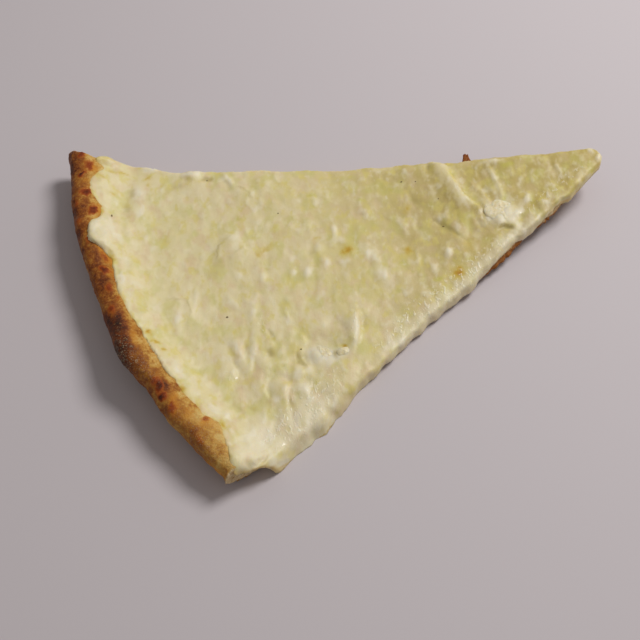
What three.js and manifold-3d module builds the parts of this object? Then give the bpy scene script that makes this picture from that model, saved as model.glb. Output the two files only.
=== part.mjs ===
// A slice of white pizza: one eighth of a large thin-crust pie, lying as it was served.
// Millimetres, +Z up. The rim lies towards -X, the point towards +X, and the far cut is on +Y.
//
// Every shape is worked out in the wedge's own frame: the surface that the slice rests on is
// z = 0, and s = -x is the distance from the wedge's sharp corner back towards the rim. The
// finished group is moved so that its origin is the middle of the bottom of its box.

import * as THREE from 'three';
import Module from 'manifold-3d';
import { ImprovedNoise } from 'three/addons/math/ImprovedNoise.js';
import { mergeVertices } from 'three/addons/utils/BufferGeometryUtils.js';

const wasm = await Module();
wasm.setup();

const { clamp, degToRad, lerp, smoothstep } = THREE.MathUtils;

// ---- Driving dimensions ---------------------------------------------------------------------

const wedge = {
  apexX: 5.4, // where the two straight cuts would meet
  apexY: -1.1,
  nearAngle: degToRad(-21.9),
  farAngle: degToRad(21.55),
  rimRadius: 233.2, // apex to the outside of the rim, straight ahead
  rimGrowth: 17, // the pie is not quite round: extra radius per radian towards the far cut
  pointRadius: 9.2, // the point itself is blunt
};

const dough = {
  thickness: 3.0, // under the cheese
  rimHeight: 11.8,
  rimDepth: 6.6, // outside of the rim to the top of its crown
  rimSlopeEnd: 27, // where the rim has come down to the flat dough, from the outside
};

const cheese = {
  gap: 0.3, // clear of the dough
  thickness: 3.5,
  rimThickness: 0.9, // where it thins out against the rim
  buildUp: 9, // the distance in which it reaches its full thickness
  leastThickness: 0.7,
  rimWidth: 11, // bare rim outside it
};

// The slice sags: it rests on a flat patch under its middle, and both ends are raised.
const sag = {
  patchStart: 108,
  patchEnd: 180,
  pointLift: 12.2,
  rimLift: 9.0,
  rimRun: 50,
};

const steps = { across: 36, bareRim: 8, covered: 32, levels: 3 };

const colours = { crust: 0xb2763a, cheese: 0xe2d09a, ricotta: 0xeee2c4 };

// ---- Helpers --------------------------------------------------------------------------------

const perlin = new ImprovedNoise();

// A soft hill of height 1 around a centre.
const hill = (x, centre, width) => Math.exp(-(((x - centre) / width) ** 2));

// Gentle unevenness of about -0.6 to 0.6, in lumps of the given size.
const uneven = (x, y, size, layer) => perlin.noise(x / size, y / size, layer);

// Adds up hills given as [centre, width, height].
const hills = (x, list) => list.reduce((sum, [centre, width, height]) => sum + height * hill(x, centre, width), 0);

// ---- The wedge in plan ----------------------------------------------------------------------

// Height of the underside above the resting surface.
function lift(s) {
  const towardsPoint = clamp(1 - s / sag.patchStart, 0, 1);
  const towardsRim = clamp((s - sag.patchEnd) / sag.rimRun, 0, 1.2);
  return sag.pointLift * towardsPoint ** 1.3 + sag.rimLift * towardsRim ** 1.5;
}

// Apex to the outside of the rim, in a direction given by its angle from the centre line.
function rimRadius(angle) {
  const arc = angle * wedge.rimRadius;
  const bulges = hills(arc, [
    [-72, 10, -1.2], [-40, 10, -1.2], [-16, 9, 1.6], [24, 16, -0.5], [60, 16, 0.9], [90, 7, 1.0],
  ]);
  return wedge.rimRadius + wedge.rimGrowth * angle + bulges + 0.7 * uneven(arc, 0, 13, 4.5);
}

// Width of the bare rim: the cheese runs up over it in one place and stays back in others.
function rimWidth(angle) {
  const arc = angle * wedge.rimRadius;
  const lobes = hills(arc, [[45, 8, -5.2], [-28, 20, 4.5], [-59, 7, 3.6], [-90, 9, -4], [86, 5, -3]]);
  return cheese.rimWidth + lobes;
}

// How far the near cut wanders outward from a straight line.
const nearWander = (s) => hills(s, [[105, 22, -1.7], [28, 9, 0.9], [203, 9, -3.0], [190, 4, -0.6]])
  + 0.5 * uneven(s, 3, 11, 7.5);

// The same for the far cut.
const farWander = (s) => hills(s, [[203, 15, 3.4], [221, 6, 5.6], [187, 4, 1.6], [169, 4, 0.9], [136, 22, 0.9]])
  + 0.4 * uneven(s, 9, 12, 2.5);

// How far the cheese flows out over the near cut.
const cheeseOverhang = (s) => 1.0 + hills(s, [[172, 13, 3.8], [158, 6, 3.8], [185, 5, 2.6]])
  - 1.6 * smoothstep(s, 189, 193);

// Carries a distance from the apex, an angle and a height over the underside to the wedge's place.
function place(radius, angle, height, nearOut = 0, farOut = 0) {
  const point = new THREE.Vector3(
    wedge.apexX - radius * Math.cos(angle),
    wedge.apexY + radius * Math.sin(angle),
    0,
  );
  const across = (angle - wedge.nearAngle) / (wedge.farAngle - wedge.nearAngle);
  point.y += (farWander(-point.x) + farOut) * across ** 8 - (nearWander(-point.x) + nearOut) * (1 - across) ** 8;
  point.z = height + lift(-point.x);
  return point;
}

// ---- The layers in section ------------------------------------------------------------------

// Height of the rim: puffed unevenly, with a burnt swelling on the near side of the middle.
function rimHeight(angle) {
  const arc = angle * wedge.rimRadius;
  return dough.rimHeight + hills(arc, [[-20, 9, 1.0], [64, 7, 0.9], [-70, 12, 0.8], [20, 12, -0.6]])
    + 1.1 * uneven(arc, 5, 15, 1.5);
}

// Top of the dough at a distance inward from the outside of the rim.
function doughTop(inset, angle) {
  const height = rimHeight(angle);
  if (inset < dough.rimDepth) {
    const turn = (dough.rimDepth - inset) / dough.rimDepth;
    return (height / 2) * (1 + Math.sqrt(1 - turn * turn));
  }
  return lerp(height, dough.thickness, smoothstep(inset, dough.rimDepth, dough.rimSlopeEnd));
}

// Underside of the dough at the same place: it rounds up under the rim.
function doughUnderside(inset, angle) {
  if (inset >= dough.rimDepth) return 0;
  const turn = (dough.rimDepth - inset) / dough.rimDepth;
  return (rimHeight(angle) / 2) * (1 - Math.sqrt(1 - turn * turn));
}

// Raised and sunken features of the cheese, in the wedge's frame. Each is a soft-edged oval.
const mounds = [
  { x: -199, y: -4, length: 7, width: 7, turn: 0, height: 1.2 },
  { x: -179, y: -27, length: 10, width: 3.5, turn: -65, height: 1.2 },
  { x: -134, y: -37, length: 8, width: 2.8, turn: 60, height: 1.8 },
  { x: -155, y: -42, length: 11, width: 6, turn: 8, height: -1.9 },
  { x: -114, y: -12, length: 14, width: 7, turn: -80, height: 0.9 },
  { x: -166, y: 19, length: 9, width: 6, turn: 60, height: 1.0 },
  { x: -198, y: 56, length: 16, width: 4, turn: 70, height: 1.1 },
  { x: -204, y: 55, length: 18, width: 3.5, turn: 70, height: -0.9 },
  { x: -216, y: 43, length: 9, width: 6, turn: 85, height: 0.9 },
  { x: -148, y: -56, length: 12, width: 6, turn: 20, height: 0.8 },
  { x: -75, y: -10, length: 12, width: 3, turn: -48, height: -1.3 },
  { x: -57, y: -10, length: 9, width: 7, turn: 20, height: 0.8 },
  { x: -43, y: 13, length: 6, width: 5, turn: 0, height: 0.8 },
  { x: -186, y: 74, length: 5, width: 4, turn: 0, height: 1.3 },
  { x: -169, y: 64, length: 4.5, width: 3.5, turn: 0, height: 1.1 },
];

// The skin of cheese that slid towards the point and stopped in a lip, bowed across the slice.
const lipLine = (y) => -64 - 6 * ((y - 9) / 20.5) ** 2;

function relief(x, y) {
  let height = 0.6 * uneven(x, y, 19, 0.5) + 0.45 * uneven(x, y, 8.5, 3.5);
  for (const mound of mounds) {
    const turn = degToRad(mound.turn);
    const dx = x - mound.x;
    const dy = y - mound.y;
    const along = (dx * Math.cos(turn) + dy * Math.sin(turn)) / mound.length;
    const beside = (dy * Math.cos(turn) - dx * Math.sin(turn)) / mound.width;
    height += mound.height * Math.exp(-(along * along + beside * beside));
  }
  const behindLip = lipLine(y) - x;
  const reach = smoothstep(y, -22, -10);
  height += reach * (1.3 * smoothstep(behindLip, -1.5, 1.5) * (1 - smoothstep(behindLip, 4, 26)) - 0.3);
  return height;
}

// ---- Solids ---------------------------------------------------------------------------------

// Stations from the edge of the cheese (0) to the point (1), closer together at the rim's slope,
// at the lip and at the point.
function stationFractions(count) {
  const crowded = [[0, 0.1, 1.4], [0.715, 0.05, 1.6], [1, 0.03, 1.2]];
  const crowding = (f) => 1 + hills(f, crowded);
  const samples = 2000;
  const fractions = [0];
  let total = 0;
  for (let k = 0; k < samples; k += 1) total += crowding((k + 0.5) / samples);
  let sum = 0;
  for (let k = 0; k < samples; k += 1) {
    sum += crowding((k + 0.5) / samples);
    if (sum >= (total * fractions.length) / count && fractions.length < count) fractions.push((k + 1) / samples);
  }
  fractions.push(1);
  return fractions;
}
const fractions = stationFractions(steps.covered);

// Distance from the apex to the blunt end, which is rounded at its corners.
const pointRadius = (across) => wedge.pointRadius + 2.2 * (2 * across - 1) ** 4;

// Distance from the apex to a station under the cheese.
function coveredRadius(station, angle, across) {
  return lerp(rimRadius(angle) - rimWidth(angle), pointRadius(across), fractions[station]);
}

// A closed block of small faces, bent into shape: placeVertex(i, j, k) says where the vertex goes
// that is i steps from rim to point, j steps from the near cut to the far one, and k levels up.
function bentBlock(lengthSteps, acrossSteps, levels, placeVertex) {
  const block = new THREE.BoxGeometry(lengthSteps, acrossSteps, levels, lengthSteps, acrossSteps, levels);
  block.translate(lengthSteps / 2, acrossSteps / 2, levels / 2);
  block.deleteAttribute('normal');
  block.deleteAttribute('uv');
  const position = block.attributes.position;
  for (let index = 0; index < position.count; index += 1) {
    const [i, j, k] = [position.getX(index), position.getY(index), position.getZ(index)].map(Math.round);
    position.setXYZ(index, ...placeVertex(i, j, k));
  }
  return mergeVertices(block, 1e-4);
}

// Dough: flat base, puffed rim, rounded outside.
function crustGeometry() {
  const outerTurn = degToRad(45); // the outer wall takes this much of the rounding each way
  const wallInset = dough.rimDepth * (1 - Math.cos(outerTurn));
  return bentBlock(steps.bareRim + steps.covered, steps.across, steps.levels, (i, j, k) => {
    const across = j / steps.across;
    const angle = lerp(wedge.nearAngle, wedge.farAngle, across);
    const outside = rimRadius(angle);
    const level = k / steps.levels;
    if (i === 0) {
      const turn = lerp(-outerTurn, outerTurn, level);
      const height = (rimHeight(angle) / 2) * (1 + Math.sin(turn));
      return place(outside - dough.rimDepth * (1 - Math.cos(turn)), angle, height);
    }
    const radius = i < steps.bareRim
      ? lerp(outside - wallInset, outside - rimWidth(angle), i / steps.bareRim)
      : coveredRadius(i - steps.bareRim, angle, across);
    const inset = outside - radius;
    const height = lerp(doughUnderside(inset, angle), doughTop(inset, angle), level);
    return place(radius, angle, height);
  });
}

// A torn flap of dough on the far cut, near the point. It tapers, and bends up clear of the cheese.
const flap = { s: 54.5, width: 11, tipWidth: 1.6, thickness: 1.5, inside: 2.5, outside: 6.0, rise: degToRad(30) };

function flapGeometry() {
  const length = flap.inside + flap.outside;
  const plate = new THREE.CylinderGeometry(flap.tipWidth / 2, flap.width / 2, length, 12, 3);
  plate.deleteAttribute('normal');
  plate.deleteAttribute('uv');
  plate.translate(0, length / 2 - flap.inside, 0);
  plate.scale(1, 1, flap.thickness / flap.width);
  plate.rotateX(flap.rise);
  plate.rotateZ(-wedge.farAngle);
  const root = place((flap.s + wedge.apexX) / Math.cos(wedge.farAngle), wedge.farAngle, dough.thickness / 2);
  return mergeVertices(plate.translate(root.x, root.y, root.z), 1e-4);
}

// Cheese: one layer on the dough, thin against the rim, hanging over the near cut.
function cheeseGeometry() {
  const skirt = 0.4; // the second column stands this far outside the dough
  return bentBlock(steps.covered, steps.across + 1, steps.levels, (i, j, k) => {
    const across = Math.max(j - 1, 0) / steps.across;
    const angle = lerp(wedge.nearAngle, wedge.farAngle, across);
    const radius = coveredRadius(i, angle, across);
    const inset = rimRadius(angle) - radius;
    const level = k / steps.levels;
    const ground = place(radius, angle, 0);
    const fromRim = (inset - rimWidth(angle)) / cheese.buildUp;
    const base = doughTop(inset, angle) + cheese.gap * (1 + 1.6 * hill(inset, dough.rimSlopeEnd / 2, 10));
    const edge = Math.min(1, (steps.across - j + 0.6) / 1.6, (j + 0.4) / 2); // shoulders at the cuts
    const nose = smoothstep(radius - pointRadius(across), -2, 5);
    const full = lerp(cheese.rimThickness, cheese.thickness, 1 - Math.exp(-fromRim)) * lerp(0.55, 1, nose);
    const calm = smoothstep(fromRim, 0, 1);
    const depth = Math.max(full * lerp(0.72, 1, edge) + relief(ground.x, ground.y) * calm, cheese.leastThickness);
    const overhang = cheeseOverhang(-ground.x);
    const bulge = 0.5 * Math.sin(Math.PI * Math.min(level, 0.8));
    if (j === 0) {
      const reach = clamp((overhang - 1) / 6, 0, 1);
      const droop = 0.6 * smoothstep(overhang, 2 * skirt, 1);
      const low = lerp(base - droop, 0.5, reach); // where it flows far out it hangs to the bottom
      const high = lerp(base + depth * 0.6, 2.6, reach);
      return place(radius, angle, lerp(low, high, level), overhang + bulge, 0);
    }
    const out = j === 1 ? Math.min(skirt, overhang - 0.6) : 0;
    const farOut = j === steps.across + 1 ? bulge : 0;
    const forward = i === steps.covered ? -bulge - 0.5 : 0;
    return place(radius + forward, angle, base + depth * level, out, farOut);
  });
}

// Exposed curds of ricotta, rough lumps sunk a little into the cheese.
const curds = [
  { x: -55.5, y: -10, size: 7.4, height: 3.4, sink: 1.4, seed: 1 },
  { x: -152, y: -44, size: 5.0, height: 3.4, sink: 0.9, seed: 2 },
  { x: -143, y: -46, size: 3.4, height: 2.6, sink: 0.7, seed: 3 },
];

// A lump about its own centre, grown all round by the given margin.
function lump(curd, margin) {
  const ball = new THREE.IcosahedronGeometry(1, 2);
  ball.deleteAttribute('normal');
  ball.deleteAttribute('uv');
  const position = ball.attributes.position;
  const point = new THREE.Vector3();
  for (let index = 0; index < position.count; index += 1) {
    point.fromBufferAttribute(position, index);
    const rough = 1 + 0.35 * perlin.noise(point.x * 1.4 + curd.seed * 5, point.y * 1.4, point.z * 1.4);
    position.setXYZ(
      index,
      point.x * (curd.size * rough + margin),
      point.y * (curd.size * 0.85 * rough + margin),
      point.z * ((curd.height / 2) * rough + margin),
    );
  }
  return mergeVertices(ball, 1e-4);
}

// Height of the cheese's top in the wedge's frame, away from its edges.
function cheeseTop(x, y) {
  const angle = Math.atan2(y - wedge.apexY, wedge.apexX - x);
  const inset = rimRadius(angle) - Math.hypot(x - wedge.apexX, y - wedge.apexY);
  return lift(-x) + doughTop(inset, angle) + cheese.gap + cheese.thickness + relief(x, y);
}

function curdGeometry(curd, margin = 0) {
  const middle = cheeseTop(curd.x, curd.y) + curd.height / 2 - curd.sink;
  return lump(curd, margin).translate(curd.x, curd.y, middle);
}

// ---- Booleans -------------------------------------------------------------------------------

function toSolid(geometry) {
  return new wasm.Manifold(new wasm.Mesh({
    numProp: 3,
    vertProperties: new Float32Array(geometry.attributes.position.array),
    triVerts: new Uint32Array(geometry.index.array),
  }));
}

function toGeometry(solid) {
  const mesh = solid.getMesh();
  const geometry = new THREE.BufferGeometry();
  geometry.setAttribute('position', new THREE.BufferAttribute(mesh.vertProperties, mesh.numProp));
  geometry.setIndex(new THREE.BufferAttribute(mesh.triVerts, 1));
  return geometry;
}

// ---- The slice ------------------------------------------------------------------------------

const slice = new THREE.Group();

function addPiece(name, geometry, colour, roughness) {
  geometry.computeVertexNormals();
  const material = new THREE.MeshStandardMaterial({ color: colour, roughness, metalness: 0 });
  const mesh = new THREE.Mesh(geometry, material);
  mesh.name = name;
  slice.add(mesh);
}

let cheeseSolid = toSolid(cheeseGeometry());
for (const curd of curds) cheeseSolid = cheeseSolid.subtract(toSolid(curdGeometry(curd, cheese.gap)));

const crustSolid = toSolid(crustGeometry()).add(toSolid(flapGeometry()));

addPiece('crust', toGeometry(crustSolid), colours.crust, 0.8);
addPiece('cheese', toGeometry(cheeseSolid), colours.cheese, 0.45);
curds.forEach((curd, index) => addPiece(`ricotta_${index + 1}`, curdGeometry(curd), colours.ricotta, 0.6));

const box = new THREE.Box3().setFromObject(slice);
const middle = box.getCenter(new THREE.Vector3());
slice.position.set(-middle.x, -middle.y, -box.min.z);

export default slice;
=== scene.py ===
import math
import random
from contextlib import contextmanager

import bmesh
import bpy
import numpy as np
from mathutils import Matrix, Vector, noise
from mathutils.bvhtree import BVHTree


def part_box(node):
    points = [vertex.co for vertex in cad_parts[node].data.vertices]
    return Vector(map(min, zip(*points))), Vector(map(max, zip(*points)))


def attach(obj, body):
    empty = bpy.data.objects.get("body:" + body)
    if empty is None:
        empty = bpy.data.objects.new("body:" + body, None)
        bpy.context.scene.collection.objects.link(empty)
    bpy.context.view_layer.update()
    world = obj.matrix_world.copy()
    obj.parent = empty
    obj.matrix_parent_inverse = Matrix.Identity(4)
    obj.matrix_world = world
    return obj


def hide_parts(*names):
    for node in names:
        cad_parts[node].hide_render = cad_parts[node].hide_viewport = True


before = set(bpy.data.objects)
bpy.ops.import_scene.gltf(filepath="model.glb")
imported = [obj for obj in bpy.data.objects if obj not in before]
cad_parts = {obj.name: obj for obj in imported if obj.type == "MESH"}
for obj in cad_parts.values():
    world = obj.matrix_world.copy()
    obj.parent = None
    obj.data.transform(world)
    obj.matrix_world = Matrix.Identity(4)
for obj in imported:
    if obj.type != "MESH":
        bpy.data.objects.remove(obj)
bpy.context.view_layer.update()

# White pizza slice. Meshes are in metres of the part's frame. Features are placed in millimetres of
# the wedge: its sharp corner is at 0, the rim towards -X and the far cut towards +Y.

mm = 0.001
wedge = {
    "corner": (115.292, -4.947, 0.0),  # the wedge's sharp corner in the part's frame
    "apex": (5.4, -1.1),  # where the two cuts would meet
    "nearAngle": math.radians(-21.9),
    "farAngle": math.radians(21.55),
    "arcRadius": 233.2,  # turns an angle into a length along the rim
}


def toPart(x, y, z=0.0):
    return (Vector((x, y, z)) + Vector(wedge["corner"])) * mm


class Points:
    # the vertices of a mesh in the wedge's millimetres, as columns
    def __init__(self, mesh):
        self.mesh = mesh
        count = len(mesh.vertices)
        places = np.empty(count * 3, np.float32)
        normals = np.empty(count * 3, np.float32)
        mesh.vertices.foreach_get("co", places)
        mesh.vertices.foreach_get("normal", normals)
        self.places = places.reshape(-1, 3).astype(float) / mm - wedge["corner"]
        self.normals = normals.reshape(-1, 3).astype(float)
        self.x, self.y, self.z = self.places.T
        across, along = self.y - wedge["apex"][1], wedge["apex"][0] - self.x
        self.radius = np.hypot(along, across)
        self.angle = np.arctan2(across, along)
        self.arc = self.angle * wedge["arcRadius"]
        self.upward = self.normals[:, 2]

    def slide(self, direction, distance):
        self.places[:, 0] += direction[0] * distance
        self.places[:, 1] += direction[1] * distance

    def spread(self, distance):
        # away from the apex
        self.slide((-np.cos(self.angle), np.sin(self.angle)), distance)

    def swell(self, distance):
        # along each vertex's own normal
        self.places += self.normals * distance[:, None]

    def write(self):
        places = ((self.places + wedge["corner"]) * mm).astype(np.float32)
        self.mesh.vertices.foreach_set("co", places.ravel())
        self.mesh.update()

    def keep(self, name, values):
        layer = self.mesh.attributes.new(name, "FLOAT", "POINT")
        layer.data.foreach_set("value", np.clip(values, 0, 1).astype(np.float32))


def step(low, high, x):
    t = np.clip((x - low) / (high - low), 0, 1)
    return t * t * (3 - 2 * t)


def hill(x, centre, width):
    return np.exp(-(((x - centre) / width) ** 2))


def along(table, column, x):
    # a table's column read at x, the table's first column
    rows = sorted(table)
    return np.interp(x, [row[0] for row in rows], [row[column] for row in rows])


def bumps(places, size, seed, detail=1, stretch=1, turn=0):
    # soft noise of about -1 to 1 in lumps of the given size, longer by stretch along the turned X
    c, s = math.cos(math.radians(turn)), math.sin(math.radians(turn))
    spots = places @ np.array([[c, -s, 0], [s, c, 0], [0, 0, 1]]) / (size * stretch, size, size)
    spots = spots + (seed * 17.3, seed * 5.1, seed * 9.7)
    return np.array([noise.fractal(spot, 1.0, 2.0, detail) for spot in spots.tolist()])


def cells(places, size, seed):
    # distance to the nearest of scattered points
    spots = places / size + (seed * 3.7, seed * 11.1, seed * 7.9)
    return np.array([noise.voronoi(spot)[0][0] for spot in spots.tolist()])


def ovals(x, y, features, edge=1.0):
    # adds up soft ovals given as x, y, half length, half width, turn in degrees, height
    total = np.zeros(x.shape)
    for px, py, length, width, turn, height in features:
        c, s = math.cos(math.radians(turn)), math.sin(math.radians(turn))
        lengthwise = ((x - px) * c + (y - py) * s) / length
        beside = ((y - py) * c - (x - px) * s) / width
        total += height * np.exp(-((lengthwise**2 + beside**2) ** edge))
    return total


def nearLine(x, y, line):
    # distance from a line, how slim it is there (thinner at its ends) and the side, positive on its left
    lengths = [math.dist(a, b) for a, b in zip(line, line[1:])]
    away, share, side, done = np.full(x.shape, 1e9), np.zeros(x.shape), np.zeros(x.shape), 0.0
    for (ax, ay), (bx, by), length in zip(line, line[1:], lengths):
        dx, dy = bx - ax, by - ay
        t = np.clip(((x - ax) * dx + (y - ay) * dy) / length**2, 0, 1)
        found = np.hypot(x - ax - t * dx, y - ay - t * dy)
        closer = found < away
        away = np.where(closer, found, away)
        share = np.where(closer, (done + t * length) / sum(lengths), share)
        side = np.where(closer, dx * (y - ay) - dy * (x - ax), side)
        done += length
    return away, 0.35 + 0.65 * np.sqrt(np.clip(4 * share * (1 - share), 0, 1)), side


def strokes(x, y, lines):
    # adds up tapered lines given as half width, height, points
    total = np.zeros(x.shape)
    for width, height, line in lines:
        away, slim, _ = nearLine(x, y, line)
        total += height * slim * np.exp(-((away / (width * slim)) ** 2))
    return total


def folds(x, y, lines):
    # adds up lapped edges given as steep mm, gentle mm, height, points; gentle on the line's left
    total = np.zeros(x.shape)
    for steep, gentle, height, line in lines:
        away, slim, side = nearLine(x, y, line)
        total += height * slim * np.exp(-((away / np.where(side > 0, gentle, steep)) ** 2))
    return total


@contextmanager
def editing(mesh):
    # the mesh as a bmesh, written back at the end
    bm = bmesh.new()
    bm.from_mesh(mesh)
    bm.verts.ensure_lookup_table()
    yield bm
    bm.to_mesh(mesh)
    bm.free()
    mesh.update()


def newPiece(name, bm):
    mesh = bpy.data.meshes.new(name)
    bm.to_mesh(mesh)
    bm.free()
    piece = bpy.data.objects.new(name, mesh)
    bpy.context.scene.collection.objects.link(piece)
    return piece


def softSkin(name, node, form):
    # a smooth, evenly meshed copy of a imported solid, with the cuts kept crisp
    bm = bmesh.new()
    bm.from_mesh(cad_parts[node].data)
    for curd, growth, sink in form["filling"]:
        first = len(bm.verts)
        bm.from_mesh(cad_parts[curd].data)
        bm.verts.ensure_lookup_table()
        low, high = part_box(curd)
        verts = bm.verts[first:]
        bmesh.ops.scale(bm, vec=(growth, growth, 1), verts=verts, space=Matrix.Translation(-(low + high) / 2))
        bmesh.ops.translate(bm, vec=(0, 0, -sink * mm), verts=verts)
    bmesh.ops.remove_doubles(bm, verts=bm.verts, dist=0.01 * mm)
    bmesh.ops.join_triangles(bm, faces=bm.faces, angle_face_threshold=0.6, angle_shape_threshold=0.9)
    crispness = bm.edges.layers.float.new("crease_edge")
    for edge in bm.edges:
        if edge.calc_face_angle(0) > math.radians(form["cutAngle"]):
            edge[crispness] = form["crispCut"]
    piece = newPiece(name, bm)
    smooth = piece.modifiers.new("Smooth", "SUBSURF")
    smooth.levels = smooth.render_levels = 2
    evenOut(piece, form["voxel"])
    keepLargest(piece.data)
    return piece


def evenOut(piece, voxel):
    # adds an even voxel mesh to the piece's modifiers and applies them all
    even = piece.modifiers.new("Even", "REMESH")
    even.mode = "VOXEL"
    even.voxel_size = voxel * mm
    evaluated = piece.evaluated_get(bpy.context.evaluated_depsgraph_get())
    finished = bpy.data.meshes.new_from_object(evaluated)
    piece.modifiers.clear()
    piece.data.name += "Rough"
    piece.data = finished
    finished.name = piece.name


def keepLargest(mesh):
    # drops the loose bits that remeshing can leave
    with editing(mesh) as bm:
        left, parts = set(bm.verts), []
        while left:
            reached = [left.pop()]
            for vert in reached:
                found = {edge.other_vert(vert) for edge in vert.link_edges} & left
                left -= found
                reached.extend(found)
            parts.append(reached)
        loose = [vert for part in sorted(parts, key=len)[:-1] for vert in part]
        bmesh.ops.delete(bm, geom=loose, context="VERTS")


def shadeSmooth(piece):
    piece.data.shade_smooth()
    return piece


def soften(mesh, times, chosen=None):
    with editing(mesh) as bm:
        verts = bm.verts if chosen is None else [bm.verts[index] for index in np.flatnonzero(chosen)]
        axes = dict.fromkeys(("use_axis_x", "use_axis_y", "use_axis_z"), True)
        for _ in range(times):
            bmesh.ops.smooth_vert(bm, verts=verts, factor=0.5, **axes)


def refine(mesh, chosen):
    # splits the faces whose vertices are all chosen
    with editing(mesh) as bm:
        edges = {edge for face in bm.faces if all(chosen[v.index] for v in face.verts) for edge in face.edges}
        bmesh.ops.subdivide_edges(bm, edges=list(edges), cuts=1, use_grid_fill=True)


crustForm = {
    "voxel": 0.8,  # mm between the vertices
    "cutAngle": 50,  # degrees from which an edge belongs to a cut
    "crispCut": 0.75,  # 0 lets the cut edges round off, 1 keeps them sharp
    "filling": [],
}
cheeseForm = {
    "voxel": 0.7,
    "cutAngle": 50,
    "crispCut": 0.35,
    # the skin closes under the curds: node, how much wider than the curd, mm below it
    "filling": [("ricotta_1", 1.2, 1.3), ("ricotta_2", 1.2, 1.4), ("ricotta_3", 1.2, 1.3)],
}

crust = softSkin("crustBaked", "crust", crustForm)
cheese = softSkin("cheeseMelted", "cheese", cheeseForm)
print("skins:", len(crust.data.polygons), len(cheese.data.polygons))


class Reach:
    # how far a piece reaches from the apex in each direction
    directions = 121

    def __init__(self, points):
        self.angles = np.linspace(points.angle.min(), points.angle.max(), self.directions)
        nearest = np.clip(np.searchsorted(self.angles, points.angle), 0, self.directions - 1)
        self.radii = np.zeros(self.directions)
        np.maximum.at(self.radii, nearest, points.radius)
        filled = self.radii > 0
        self.radii = np.interp(self.angles, self.angles[filled], self.radii[filled])

    def at(self, angle):
        return np.interp(angle, self.angles, self.radii)


rimReach = Reach(Points(crust.data))


def warped(points, size, amount, seed):
    # the plan pushed about by soft noise, so that what is placed on it comes out uneven
    return (points.x + amount * bumps(points.places, size, seed, 2),
            points.y + amount * bumps(points.places, size, seed + 1, 2))


def outwards(which):
    # the plan direction straight out of a cut
    angle, side = wedge[which + "Angle"], (1 if which == "far" else -1)
    return side * math.sin(angle), side * math.cos(angle)


def beyondCut(points, which):
    # mm outside the line of a cut, negative inside it
    dx, dy = outwards(which)
    return (points.x - wedge["apex"][0]) * dx + (points.y - wedge["apex"][1]) * dy


def underside(x):
    # height of the dough's lower side at a distance from the point
    return 12.2 * np.clip(1 + x / 108, 0, 1) ** 1.3 + 9.0 * np.clip((-x - 180) / 50, 0, 1.2) ** 1.5


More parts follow.
